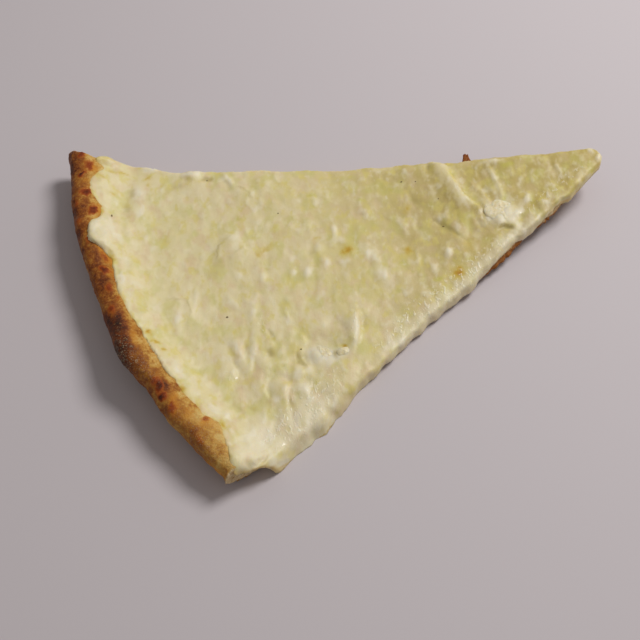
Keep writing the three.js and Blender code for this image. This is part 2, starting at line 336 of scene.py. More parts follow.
crustLook = {
    # blisters and scorched spots on the rim: x, y, half length, half width, turn, how dark
    "blisters": [
        (-211.6, 79.6, 3, 1.9, 60, 0.6), (-216, 75.6, 1.7, 1, 20, 1.2), (-216.8, 65.2, 2.8, 2, 25, 0.85),
        (-217, 54.6, 3.4, 1.6, 60, 0.75), (-219, 28.5, 3.4, 1.3, -70, 0.45),
        (-220.8, 21.5, 2.4, 1.7, -60, 0.9), (-215.8, -39, 2.8, 1.6, 80, 1.0),
        (-216.5, -43.8, 1.6, 1.3, 0, 1.1), (-214.6, -49.5, 3.2, 1.5, 75, 0.55),
        (-204, -57.6, 1.8, 1.4, 40, 0.5), (-221.5, 12, 2.6, 1.3, 80, 0.6), (-212.8, 85.8, 2.2, 1.2, 60, 0.8),
        (-223, 39, 1.8, 1.2, 70, 0.5), (-209.5, -66, 2.4, 1.4, -70, 0.3), (-223.5, 1, 2.2, 1.4, 80, 0.7),
        (-219.5, 6, 1.6, 1.0, 60, 0.4), (-217.5, -36, 1.8, 1.0, 40, 0.7), (-224.5, 50, 2.2, 1.1, 80, 0.5),
        (-203.8, -85.2, 1.3, 1, 0, 0.6), (-222.3, 60.5, 1.9, 1, 80, 0.45), (-211, -74, 2.4, 1.2, -70, 0.3),
    ],
    # orange browning beside them and along the cheese
    "halos": [
        (-209.8, 79.8, 3.6, 2.6, 70, 1.0), (-214.0, 55, 4.5, 2.4, 65, 1.1), (-213.8, 67, 4, 2.0, 60, 0.6),
        (-219, 36, 6, 1.8, -75, 0.9), (-217.5, 27.5, 4.5, 2.4, -75, 1.1), (-218.6, 19, 4, 2.0, -80, 0.8),
        (-215.5, 72, 2.6, 1.6, 60, 0.7), (-216, -34.5, 3.0, 2.2, 80, 0.7), (-213.5, -48, 6, 2.8, 75, 1.0),
        (-209.5, -54, 4, 2.2, 60, 0.7), (-203.5, -58.4, 3.8, 3.0, 30, 1.0), (-208, -79, 4.4, 2.2, -60, 0.9),
        (-217.5, 5, 6, 2.0, 85, 0.4), (-218.6, -14, 9, 1.8, 82, 0.7), (-222, 45, 8, 1.6, 85, 0.3),
        (-205.6, -66, 6, 2, -70, 0.4), (-216, 30, 4, 2.6, -75, 0.8), (-206.5, -86, 5, 4, -60, 0.9),
        (-210.5, -74, 5, 2, -70, 0.5),
    ],
    # mm that these stand out or lie in
    "blisterHeight": 0.55,
    "lumpy": 0.45,
    "grainy": 0.26,
    "burntGrain": 0.35,
    "crumbGrain": 0.2,
    "crumbHoles": 0.6,
    "floorDimples": 0.16,
    "bulge": (-22, 11, 0.4),  # the burnt swelling: middle and half length along the rim, mm it sticks out
    "nearEnd": 5.0,  # mm that the rim's near end sticks out
    "farEnd": 0.8,  # and its far end
    "corner": 1.8,  # mm that the rim reaches past the far cut
    # how brown it is, 0 raw to 1 burnt: mm along the rim, outer side, crown, strip by the cheese
    "bake": [
        (-92, 0.32, 0.20, 0.12), (-80, 0.32, 0.20, 0.12), (-70, 0.50, 0.42, 0.22), (-60, 0.46, 0.38, 0.22),
        (-50, 0.50, 0.48, 0.28), (-40, 0.60, 0.78, 0.42), (-29, 0.66, 0.50, 0.26), (-20, 0.92, 0.80, 0.32),
        (-8, 0.84, 0.94, 0.48), (5, 0.58, 0.58, 0.32), (20, 0.58, 0.68, 0.42), (35, 0.60, 0.60, 0.34),
        (50, 0.68, 0.54, 0.30), (65, 0.68, 0.58, 0.28), (80, 0.70, 0.62, 0.26), (92, 0.68, 0.60, 0.24),
    ],
    # how far the dough's lower edge shows past the cheese at the near cut: x, mm
    "ledge": [(-200, -0.7), (-125, -0.7), (-118, 0), (-80, 0), (-72, 0.5), (-66, 1.2), (-59, 1.5), (-54, 1.2),
              (-50, 0), (-46, 0), (-42, 0.9), (-39, 0.2), (-35, 0.9), (-29, 1.1), (-26, 0.1), (-8, -0.2)],
    "flap": (-51.2, 0.15, 0.15),  # the torn flap at the far cut: its tip, how far it is drawn out and narrows
}


def cutFace(points):
    # 1 on the two cut faces and the blunt end, 0 elsewhere
    flat = points.normals[:, :2]
    nearFacing, farFacing = (flat @ outwards(which) for which in ("near", "far"))
    facing = np.maximum(nearFacing * (points.angle < 0), farFacing * (points.angle > 0))
    facing = np.maximum(facing, flat[:, 0] * (points.x > -8))
    edge = step(0.5, 0.75, facing)
    outer = np.abs(points.angle) > wedge["farAngle"] - 3.5 / points.radius
    return edge * np.maximum(outer, points.x > -30)


def shapeCrust():
    mesh = crust.data
    refine(mesh, cutFace(Points(mesh)) > 0.3)

    points = Points(mesh)
    inset = rimReach.at(points.angle) - points.radius
    cut = cutFace(points)
    under = step(-0.5, -0.85, points.upward) * (1 - cut)
    rim = 1 - step(9, 20, inset)
    outside = rim * (1 - cut)
    middle, half, out = crustLook["bulge"]
    bulge = hill(points.arc, middle, half) * rim
    height = points.z - underside(points.x)

    spotX, spotY = warped(points, 2.2, 0.9, 40)
    blister = np.clip(ovals(spotX, spotY, crustLook["blisters"], 1.3), 0, 1.2) * step(0.0, 0.4, points.upward)
    lumps, grain = crustLook["lumpy"], crustLook["grainy"]
    move = outside * (lumps * bumps(points.places, 8, 1, 2) + grain * bumps(points.places, 2.6, 2, 3))
    move += outside * bulge * crustLook["burntGrain"] * bumps(points.places, 1.9, 3, 2)
    move += outside * crustLook["blisterHeight"] * blister
    # open crumb at the cuts, with larger holes inside the rim
    hole = step(0.3, 0.14, cells(points.places, 3.4, 4)) * step(0.3, 0.7, rim)
    hole += 0.25 * step(0.36, 0.2, cells(points.places, 1.4, 5))
    move += cut * (crustLook["crumbGrain"] * bumps(points.places, 1.8, 6, 2) - crustLook["crumbHoles"] * hole)
    ledge = cut * (points.angle < 0) * step(2.4, 0.6, height) * along(crustLook["ledge"], 1, points.x)
    move += ledge * (0.7 + 0.7 * bumps(points.places, 2.1, 10, 2))
    # underside: dimples of the oven floor
    move += under * (crustLook["floorDimples"] * bumps(points.places, 5, 7, 2) - 0.1)
    points.swell(move)
    flap = np.clip(beyondCut(points, "far") - 0.8, 0, None) * (points.x > -90)
    rimEnds = crustLook["nearEnd"] * step(-83, -92, points.arc)
    rimEnds += crustLook["farEnd"] * step(78, 90, points.arc)
    points.spread((bulge * out + rimEnds) * step(15, 3, inset))
    points.slide(outwards("far"), crustLook["corner"] * step(78, 88, points.arc) * step(15, 6, inset))
    # the torn flap of dough is drawn out to a point and curls up
    tip, drawn, narrows = crustLook["flap"]
    points.places[:, 0] += (tip - points.x) * np.clip(narrows * flap, 0, 0.75)
    points.places[:, 1] += drawn * flap
    points.places[:, 2] += 0.3 * flap + 0.06 * flap * bumps(points.places, 2, 11, 2)
    points.places[:, 2] = np.maximum(points.places[:, 2], 0.02)
    points.write()
    soften(mesh, 3, flap > 0.3)

    outer, crown, strip = (along(crustLook["bake"], column, points.arc) for column in (1, 2, 3))
    bake = outer + (crown - outer) * step(1.5, 5.0, inset)
    bake += (strip - bake) * step(5.5, 9.5, inset)
    bake += 0.18 * bumps(points.places, 6, 8, 2) + 0.14 * bumps(points.places, 2.4, 9, 2)
    bake = np.where(flap > 0.3, 0.66, bake)
    points.keep("bake", bake)
    points.keep("blister", blister * outside / 1.2)
    points.keep("halo", ovals(*warped(points, 3, 1.2, 42), crustLook["halos"]) * outside)
    points.keep("cut", cut * (flap < 0.3))
    points.keep("under", under)
    points.keep("flour", bulge * outside * step(9, 4, inset) + 0.5 * hill(points.arc, -70, 18) * outside)
    toast = (0.35 + 0.5 * step(-100, -75, points.x) + 0.65 * step(1.6, 0.4, height)) * (1 - rim)
    points.keep("toast", cut * (toast + rim * step(2.6, 0.5, height)))
    # the crumb's holes, which the finish colours darker as painted shade
    points.keep("pore", hole * cut)


shapeCrust()
shadeSmooth(crust)
print("crust shaped:", len(crust.data.polygons))


cheeseLook = {
    # where blobs have swollen and folded most: x, y, half length, half width, turn, strength
    "swollen": [(-170, -46, 26, 19, 20, 1.0), (-203, -62, 12, 14, 0, 0.4), (-60, -4, 10, 18, 0, 0.4),
                (-38, -14, 16, 5, 25, 0.4), (-205, 55, 12, 30, 0, 0.25)],
    # raised lumps and hollows: x, y, half length, half width, turn, height in mm
    "lumps": [
        (-186, 77, 3.6, 2.4, -26, 1.3), (-170.2, 66.6, 3.8, 2.4, -18, 1.3), (-178, 71.5, 4.2, 1.8, -35, 0.4),
        (-155.6, 57.1, 4.2, 1.5, -86, 0.8), (-195.2, 63.4, 6.5, 2.6, 74, 0.5), (-216, 43, 8, 5, 85, 0.5),
        (-166, 20, 5.5, 4, 73, 0.35), (-153.1, 45, 4.5, 3, 70, 0.25), (-199.5, -6, 5, 4, 78, 0.3),
        (-182, -29, 7, 1.9, -88, 0.45), (-176.7, -32.4, 7.5, 1.9, 65, 0.45), (-170.9, -15.8, 5, 1.8, 70, 0.35),
        (-160.4, 0.7, 3.1, 1.3, 70, 0.4), (-147.9, -1.7, 3.1, 1.4, 69, 0.4), (-142.7, -4.5, 3.1, 1.4, 68, 0.35),
        (-132.4, 19.2, 3.2, 1.8, 68, 0.4), (-122.9, 12.8, 3.6, 1.3, 68, 0.4), (-132.6, 6.1, 2.7, 1.7, 68, 0.35),
        (-133, -1.3, 2.6, 1.6, 68, 0.35), (-151.9, 29, 2.8, 2.0, 70, 0.35), (-107.1, 15.7, 2.5, 1.4, 67, 0.3),
        (-94.7, 1.1, 3.2, 1.4, 66, 0.35), (-84.2, -19.2, 3.1, 1.6, 64, 0.5), (-114.3, -6, 7, 3.2, -85, 0.3),
        (-114.6, -17.4, 4.6, 2.8, -79, 0.4), (-76.4, 15.2, 3.6, 1.8, 65, 0.35),
        (-77.2, -1.7, 2.3, 1.5, 65, 0.35), (-45, 15.8, 3.4, 1.9, -29, 0.6), (-69, 25.6, 3.6, 2.6, 60, 0.7),
        (-163.6, -48.7, 3.4, 2.4, 69, 0.7), (-164.3, -56, 3.4, 2.4, 73, 0.5),
        (-186.8, -38.8, 2.4, 1.2, 71, 0.4), (-199.6, -53.3, 4.5, 2.4, -53, 0.7),
        (-195.2, -57, 3, 1.6, 71, 0.4), (-207, -33, 5, 2.6, -73, 0.4), (-215.1, 15.8, 4.5, 1.4, 78, 0.5),
        (-49.2, -14, 2.4, 1.2, 18, 0.6), (-42.1, -8.5, 3, 0.9, 67, 0.35), (-22.8, 0.1, 3.2, 0.9, 81, 0.35),
        (-6.1, 2, 2.6, 1.4, -74, 0.5), (-5, -3.8, 3, 1.3, 60, 0.4), (-160, -72, 6, 3, 30, 0.5),
        (-181, -81, 5.5, 1.6, 10, 0.6), (-150, -60, 5, 3, 40, 0.4), (-129, -52, 3, 1.8, 60, 0.4),
        (-153.7, -43.1, 4.5, 3, -53, 0.3), (-55, -13, 5, 3, 30, 0.5), (-36, -14, 3.4, 1.4, 25, 0.4),
    ],
    "hollows": [
        (-198.3, 64.3, 5.5, 3, 55, -0.35), (-202.4, 55.5, 7, 3, 66, -0.4), (-207.5, 43, 8, 3, 74, -0.35),
        (-163.9, 61.6, 3, 1.5, -16, -0.8), (-177.6, 62.3, 5, 3, 10, -0.35),
        (-178.9, -30.7, 4.6, 1.3, 77, -0.3), (-170.4, -35.6, 2.4, 1.8, 69, -0.5),
        (-158.8, -42.7, 4.2, 1.3, -85, -0.3), (-146.8, -45.7, 2, 1.4, 75, -0.3),
        (-141.9, -43.4, 2, 1.2, -44, -0.4), (-130.4, -36.5, 5.5, 1.8, 67, -0.5),
        (-170.8, -59.8, 4, 1.3, 76, -0.6), (-185.4, -55.8, 3.6, 1.8, -59, -0.4),
        (-159.4, -60, 3, 2.6, -61, -0.4), (-116.2, -10.6, 3, 1.6, 67, -0.3), (-137.3, -2, 4.4, 1.6, 68, -0.3),
        (-156.3, 5.8, 4.2, 1.6, 70, -0.35), (-136.9, 5.6, 2.7, 1.5, 68, -0.25),
        (-72.6, 26.6, 2.6, 1.6, 70, -0.7), (-78.9, -7.1, 6, 2.4, -69, -0.3), (-84.9, 11.9, 5, 2.5, -71, -0.3),
        (-70, -3, 6, 7, 72, -0.5), (-54.5, 6, 8, 1.8, 84, -0.3), (-179, -65, 5, 1.8, 60, -0.4),
        (-172, -76, 4, 1.8, 20, -0.3),
    ],
    # lapped edges: steep mm, gentle mm, height, points with the raised side on the left
    "folds": [
        (1.2, 6.0, 1.4, [(-63, -7), (-62.9, -3), (-64.5, 0.1), (-65.8, 5), (-65.4, 11), (-66.5, 17.8),
                         (-65.5, 23), (-67, 27), (-70.5, 29)]),
        (1.1, 4.5, 1.3, [(-136.8, -44), (-133.6, -37.6), (-130.4, -30.6)]),
        (1.4, 5.0, 0.4, [(-162.1, 27.3), (-168.3, 25.2), (-173.2, 21.5), (-175.3, 15.4)]),
        (1.3, 3.5, 0.3, [(-160.8, 14.5), (-163, 18.3), (-168.6, 15.5)]),
        (1.3, 3.5, 0.3, [(-150.2, 41), (-149.5, 45.7), (-151.2, 50.2), (-155.5, 52.6)]),
        (1.4, 4.5, 0.4, [(-194.9, -9), (-192.9, -3.5), (-193.4, 0.4), (-198.3, 3.6), (-204.1, 2.5)]),
        (1.0, 4.5, 0.5, [(-158.7, -48), (-159.8, -42.7), (-159, -37.5)]),
        (0.7, 3.5, 0.7, [(-60.6, -17.6), (-57.1, -16.6), (-55.1, -18.3), (-53.6, -21)]),
        (1.1, 4.0, 0.4, [(-172, -64), (-170, -58), (-168.5, -53)]),
    ],
    "ridges": [  # half width, height, points
        (1.5, 0.45, [(-49.1, 16.7), (-49.1, 9.1), (-50.1, 0.4), (-51.4, -4)]),
        (1.3, 0.45, [(-59.3, 11.5), (-57.4, 3.1), (-57, -4.5)]),
        (1.1, 0.5, [(-166, -50), (-169.5, -52.5), (-174.5, -56)]),
        (0.9, 0.35, [(-179, -50), (-178, -56)]),
        (0.8, 0.35, [(-157.8, -19), (-157.2, -25)]),
    ],
    "creases": [
        (0.8, -0.9, [(-60, -17.8), (-57.1, -17.4), (-55.1, -19), (-54, -21)]),
        (0.9, -0.35, [(-86, -0.5), (-81.5, -1.6), (-78.8, -6.9), (-76.6, -12.6), (-74, -18)]),
        (1.0, -0.3, [(-64.5, -4), (-65.6, -9), (-66, -14)]),
        (1.2, -0.5, [(-160.4, -38.5), (-160.8, -42.7), (-159.8, -47)]),
        (0.8, -0.3, [(-167.7, -24), (-166.6, -29)]),
    ],
    # colours laid over it: x, y, half length, half width, turn, strength
    "milk": [
        (-195.2, 63.4, 5.1, 3.0, 74, 0.8), (-198.6, 52.7, 3.8, 2.5, 74, 0.6), (-186, 77, 3.4, 2.2, -26, 1.1),
        (-170.2, 66.8, 3.8, 2.3, -18, 1.1), (-178.8, 71.7, 4.2, 1.7, -35, 0.4),
        (-155.6, 57.1, 3.9, 1.3, -86, 0.8), (-215, 43, 9, 6, 80, 0.7),
        (-208, 62, 7, 4, 80, 0.3), (-168.4, 45, 1.9, 1.3, 71, 0.5),
        (-163.2, 42.6, 2.7, 1.7, 71, 0.5), (-149.3, 37.3, 2.7, 1.7, 70, 0.5), (-151.9, 29, 3.0, 2.2, 70, 0.45),
        (-132.4, 19.2, 3.0, 2.0, 68, 0.6), (-122.9, 12.8, 3.6, 1.3, 68, 0.6), (-132.6, 6.1, 2.9, 2.0, 68, 0.6),
        (-132.8, -1.3, 2.8, 2.0, 68, 0.6), (-144.7, 4.3, 2.8, 1.6, 69, 0.5), (-108.8, 35.3, 2.5, 1.5, 67, 0.5),
        (-107.1, 15.7, 2.7, 1.5, 67, 0.5), (-125.9, -5.6, 2.6, 1.6, 67, 0.5), (-94.7, 1.1, 3.2, 1.5, 66, 0.5),
        (-84.2, -19.2, 3.1, 1.6, 64, 0.7), (-99.6, -16.8, 2.2, 1.7, 65, 0.4), (-76.4, 15.2, 3.6, 1.7, 65, 0.4),
        (-81.2, 25.6, 3, 2.8, 65, 0.35), (-77.2, -1.7, 2.3, 1.7, 65, 0.45), (-114.1, -5.7, 7.2, 3.2, -85, 0.6),
        (-114.6, -17.4, 4.6, 3, -79, 0.7), (-45, 15.8, 2.8, 1.9, -29, 0.7),
        (-197.9, 30.9, 3.3, 2.2, -16, 0.4), (-176.8, 24.2, 3.2, 2.2, -79, 0.4),
        (-206.6, 0.7, 3.4, 2.8, -85, 0.5), (-215.1, 15.8, 3.6, 1.3, 78, 0.9),
        (-182, -29, 6, 1.5, -88, 0.8), (-176.7, -32.4, 6.6, 1.5, 65, 0.8), (-186.8, -38.8, 2.1, 1.0, 71, 0.5),
        (-199.6, -53.3, 3.6, 2.2, -53, 0.8), (-195.2, -56.8, 2.7, 1.3, 71, 0.6), (-207, -32, 6, 3, -73, 0.5),
        (-163.6, -48.7, 2.6, 2, 69, 0.7), (-164.3, -55.3, 3, 2.5, 73, 0.5), (-171.8, -53.1, 4.6, 1.2, 46, 0.5),
        (-182, -81.3, 4.8, 1.4, 10, 0.7), (-160.4, 0.7, 3.1, 1.3, 70, 0.6), (-170.9, -15.8, 4.7, 1.8, 70, 0.5),
        (-147.9, -1.7, 3.1, 1.5, 69, 0.5), (-142.7, -4.5, 3.1, 1.6, 68, 0.5),
        (-142.4, -18.4, 2.5, 1.6, 68, 0.4), (-168.2, 4, 2.6, 1.6, 70, 0.4),
        (-157.5, -22, 4.2, 0.8, 69, 0.5), (-133.9, -38, 7, 1.6, 65, 0.8), (-137.5, -33.5, 6.6, 3, 69, 0.45),
        (-153.7, -43.1, 4.4, 3, -53, 0.7), (-147.9, -46.8, 4, 2.2, -60, 0.7),
        (-6.1, 2, 2.2, 1.6, -74, 0.7), (-4.6, -3.9, 2.4, 1.3, 84, 0.6), (-42.1, -8.5, 2.9, 0.9, 67, 0.5),
        (-49.2, -14, 2, 1.2, 18, 0.7), (-22.8, 0.1, 3.2, 1.1, 81, 0.4), (-162.1, 25.5, 2.4, 2.2, 26, 0.4),
        (-165.8, 18.9, 5.5, 4, 73, 0.35), (-199.5, -5.9, 5, 4, 78, 0.35), (-55.5, -10, 8.5, 7, 30, 1.0),
        (-151.9, -43.6, 6.5, 5.5, 0, 0.6), (-143, -46, 4.5, 3.5, 0, 0.6),
        (-66.5, 8, 15, 1.4, 87, 0.5), (-68, 27, 3.4, 1.6, 30, 0.6), (-57.4, 4, 7, 1.3, 87, 0.35),
        (-49.5, 6, 9, 1.4, 86, 0.35), (-168, -68, 16, 10, 30, 0.6), (-190, -72, 10, 8, 30, 0.6),
    ],
    # oil pooled in the hollows and creases, with painted shade there
    "oil": [
        (-198.3, 64.3, 3.8, 2.3, 55, 0.6), (-202.2, 57, 4.6, 1.9, 64, 0.6), (-207, 43, 9, 2, 74, 0.4),
        (-163.9, 61.6, 2.8, 1.6, -16, 1.2), (-177.6, 62.3, 4, 2.5, 10, 0.5), (-78.9, -7.1, 5.9, 1.5, -69, 0.8),
        (-79.9, -5.7, 1.3, 1.2, -27, 0.9), (-84.9, 11.9, 4.7, 2.5, -71, 0.45), (-71.9, 26, 2.2, 1.6, 70, 0.7),
        (-61.8, -7, 5.3, 1.0, 74, 0.7), (-57, -18, 3.3, 1.0, -32, 1.3), (-178.9, -30.7, 3.6, 1.0, 77, 0.5),
        (-170.4, -35.6, 2.2, 1.8, 69, 0.7), (-160, -42.7, 4.2, 1.6, -85, 1.1),
        (-146.8, -45.7, 1.9, 1.1, 75, 0.9), (-78, -14, 6, 3.5, -60, 0.5),
        (-130.1, -36.5, 4.9, 1.6, 67, 0.5), (-170.8, -59.8, 3.3, 0.9, 76, 0.8),
        (-185.4, -55.8, 3.4, 1.4, -59, 0.5), (-159.4, -59.3, 2.5, 2.6, -61, 0.35),
        (-116.2, -10.6, 4.2, 1.5, 67, 0.3), (-136.9, 5.6, 2.7, 1.5, 68, 0.4),
        (-86.2, 14.8, 11.8, 3.8, -81, 0.25), (-60.8, 1, 8, 1.8, 84, 0.35), (-79.5, -23.3, 4.3, 3.3, 18, 0.25),
        (-173.4, 20, 6, 0.7, 60, 0.3), (-151, 47, 6, 0.7, 110, 0.3), (-193.6, -2, 6, 0.7, 80, 0.3),
        (-53.5, 7, 8, 1.6, 84, 0.3),
    ],
    "gold": [
        (-202.2, 78.1, 3, 1.3, -22, 0.5), (-197.8, 76.4, 2.6, 1.3, -38, 0.45),
        (-207.7, 74.1, 1.8, 2.4, 30, 0.4), (-206.2, 64.2, 1.5, 1.9, 75, 0.5),
        (-188.5, 71.8, 2.6, 2.2, 73, 0.45), (-189.9, 67.1, 2, 1.5, 26, 0.35),
        (-135.4, 45.4, 2.5, 1.4, -50, 0.35), (-154.5, 13.8, 4.2, 1.8, 15, 0.45),
        (-158, 12.2, 1.6, 1.2, -89, 0.3), (-203, 84.5, 5, 1.6, 21, 0.4),
        (-190, 80.5, 4, 1.2, 21, 0.25), (-210.5, 84.6, 3, 1.8, 21, 0.6),
        (-131.3, 11, 2.5, 1.2, -4, 0.45), (-124.8, 20.8, 4.2, 1.2, 68, 0.25), (-122.2, 0, 3.5, 2.6, 67, 0.8),
        (-98.2, -10.6, 3.6, 2.6, 65, 0.6), (-90, 9.9, 3.2, 1.8, 70, 0.5), (-86.3, 2.6, 1.9, 1.3, 72, 0.25),
        (-141.8, -43.5, 1.4, 1, -44, 0.8), (-158.1, -38.5, 0.9, 0.9, 84, 0.6),
        (-152.1, -32.7, 1.4, 1.2, 68, 0.3), (-84.5, -30, 3.4, 2.8, 64, 0.9),
        (-90.3, -35.8, 1.7, 1.6, 64, 0.35), (-75.1, -20.1, 4.4, 3.4, 76, 0.35),
        (-133.2, -23.4, 2, 1.2, 73, 0.3), (-212.7, -12.5, 2, 1.6, -35, 0.8),
        (-211.2, -18, 2.2, 1.2, -33, 0.85), (-209.6, -22.3, 1.5, 1.2, -16, 0.7),
        (-201.6, -39.6, 1.1, 0.9, 84, 0.35), (-208.6, -42.4, 1.4, 2.6, -20, 0.8),
        (-203, -59.6, 2, 1.8, -56, 1.1), (-154.8, -32.9, 0.6, 0.6, 68, 0.3), (-206, 9.9, 2, 1.8, -75, 0.2),
        (-77.2, -11.5, 2.4, 1.4, 77, 0.4), (-198.6, -62, 1.4, 5, 8, 0.5), (-216.6, 27, 1.6, 4.5, -25, 0.6),
        (-205.6, -51, 1.2, 4, -15, 0.5), (-213.6, 55, 1.5, 3.5, -10, 0.5), (-209.2, 79, 1.6, 3.5, 0, 0.5),
    ],
    "leaf": [
        (-124.6, 34.2, 2.4, 1.1, -23, 1), (-159.3, 34.5, 1.7, 1.2, -23, 0.9), (-106, 22.8, 2.4, 1, -25, 0.8),
        (-91.9, 22.2, 1.4, 1.2, 87, 0.5), (-40.9, 11.6, 2.6, 1.6, -29, 1.2), (-50.2, -4.4, 2.1, 1.6, 63, 0.9),
        (-40, -9.3, 3.2, 1.6, 62, 0.8), (-31.7, 1.8, 2.4, 2.4, 62, 0.5), (-12.8, 0, 1.6, 1.6, 70, 0.5),
        (-33.7, -7.3, 2.1, 1.9, 62, 0.4), (-101, -21.8, 1.2, 1.0, 65, 0.7), (-103.4, -15, 1.4, 0.9, -25, 0.7),
        (-93.4, -29.3, 2.1, 1.4, -26, 0.9), (-111, -27.8, 1.8, 1.6, -23, 0.6),
        (-135.6, -47.4, 2.1, 1.2, 67, 0.6), (-168.9, -23.8, 3.9, 1.1, 73, 0.8),
        (-137.7, -3.2, 4.2, 1.6, 68, 0.6), (-133.8, -23.4, 1.7, 1.3, 67, 0.4),
        (-156.3, 5.8, 4.2, 2.0, 70, 0.6), (-205.3, -9.8, 2.2, 1.1, 73, 0.6), (-198.2, -35, 1.9, 1.7, 72, 0.3),
        (-199, -61.3, 3.5, 1, 71, 0.6), (-171.6, -43.6, 1.6, 1.1, -65, 0.7), (-210.5, 33.8, 2.8, 1.8, 79, 0.3),
        (-191.1, 60, 3, 2.2, 73, 0.4), (-208.3, -38.8, 1.9, 1.3, -54, 0.4), (-177.9, -22.7, 2, 1, 88, 0.3),
        (-77.9, -25.8, 1.8, 1.5, 86, 0.6), (-175.9, -70.2, 1.5, 1, 77, 0.3), (-146, 20, 7, 5, 60, 0.3),
        (-98, 28, 12, 4, -25, 0.3), (-185, 45, 9, 6, 60, 0.3),
    ],
    # where fat glistens in fine beads, glossy and painted with white highlights: half width, strength, points
    "glints": [
        (5.0, 0.9, [(-131, -50.5), (-111, -40.5), (-97, -37.5), (-80, -31.5), (-60, -23)]),
        (7.5, 0.8, [(-190, -72), (-172, -67), (-158, -59), (-148, -53)]),
        (2.0, 1.0, [(-137.2, -44), (-134.2, -37.6), (-130.8, -30.6)]), (5.5, 0.9, [(-61, -11), (-56, -6)]),
        (3.0, 0.6, [(-50, -16), (-30, -9.5), (-8, -2)]), (1.4, 0.6, [(-65, 1), (-66, 8), (-66.5, 17)]),
        (1.6, 0.5, [(-168.6, -16), (-169.6, -26)]), (2.5, 0.5, [(-191, -34), (-186, -44)]),
    ],
    # where the cheese stops on the rim: y, x, how full its edge is, 0 melted away to 1 a rounded lip
    "border": [
        (-88, -204.5, 0.4), (-84, -203.6, 0.4), (-78.5, -202, 0.35), (-73, -200.6, 0.2), (-67, -201, 0.15),
        (-60, -200.4, 0.1),
        (-56, -204.4, 0.1), (-52, -205.7, 0.1), (-46, -208.3, 0.15), (-37, -210.4, 0.35), (-33, -211.7, 0.5),
        (-25, -213.2, 0.6), (-18, -214.6, 0.6), (-7.4, -216, 0.5), (0, -217.8, 0.2), (7.3, -218.8, 0.2),
        (13, -218.6, 0.6), (17, -218.2, 0.8), (21, -217.3, 0.7), (28, -217, 0.4), (33, -218.6, 0.8),
        (36, -221.2, 1.0), (40.3, -222.4, 1.0), (45.7, -221, 1.0), (48.2, -219, 1.0), (50, -216.6, 0.6),
        (53, -214.2, 0.2), (57.4, -213.4, 0.1), (62, -214.4, 0.15), (67, -215.1, 0.2), (73, -213.8, 0.2),
        (76.2, -210.6, 0.1), (81.4, -208.8, 0.1), (86, -207.6, 0.1), (92, -207, 0.1),
    ],
    "fringe": 0.7,  # mm that its edge wanders there
    "drip": 0.9,  # mm that its edge wanders at the cuts
    # how far it runs out past a cut and down over the dough: x, mm out, mm down
    "nearEdge": [(-210, 0.5, 0.8), (-203, 1.4, 2.0), (-197, 1.8, 3.0), (-192, 1.0, 1.6), (-187, 0.6, 0.2),
                 (-180, 0, 0), (-80, 0, 0), (-71, -0.4, 0), (-64, -1.3, 0), (-55, -1.2, 0), (-50, -0.2, 0),
                 (-44, 0, 0), (-40, -0.4, 0), (-36, -1.0, 0), (-29, -1.0, 0), (-24, -0.1, 0), (-8, 0, 0)],
    "farEdge": [(-214, 0, 2.4), (-209, 0.6, 2.2), (-204, 2.2, 1.4), (-197, 2.6, 0.6), (-191, 1.8, 0.2),
                (-184, 0.4, 0), (-178, 0, 0)],
    # how far its lower edge drapes down over the dough at the near cut: x, mm
    "drape": [(-197, 0), (-190, 1.2), (-184, 2.8), (-146, 3), (-138, 3), (-134, 1.4), (-129, 0.2),
              (-124, 1.6), (-119, 1.6), (-116, 0.8), (-110, 1.8), (-84, 2), (-75, 1.4), (-69, 0.2),
              (-55, 0), (-51, 1.4), (-45, 2), (-41, 0.6), (-37, 0), (-29, 0), (-25, 1.4), (-16, 1.2),
              (-9, 0.3), (-4, 0)],
    "thickness": 3.4,
    "calm": 45,  # how often the skin over the curds is smoothed
    "embedded": 0.5,  # mm that its lower side is sunk into the dough, so that the two are one
    # mm that its relief rises: pillows and how much more where swollen, dots, waves, grain, lip by the cut
    "pillows": 0.45,
    "swollenPillows": 1.1,
    "dots": 0.2,
    "waves": 0.15,
    "grain": 0.06,
    "swollenWaves": 0.35,
    "lip": 0.22,
    "shadedSeam": (0.8, 0.4),  # oil and painted shade along the folds that have a seam: half width, strength
    "seamed": slice(2, 6),  # which folds have one
}


class Ground:
    # heights of a piece's upper side
    def __init__(self, piece):
        bm = bmesh.new()
        bm.from_mesh(piece.data)
        self.tree = BVHTree.FromBMesh(bm)
        bm.free()

    def hit(self, x, y):
        return self.tree.ray_cast(toPart(x, y, 60), Vector((0, 0, -1)))[0]

    def heights(self, x, y, chosen):
        # mm, and nan beside the piece or where none is asked for
        found = np.full(x.shape, np.nan)
        for index in np.flatnonzero(chosen):
            hit = self.hit(x[index], y[index])
            if hit:
                found[index] = hit.z / mm
        return found


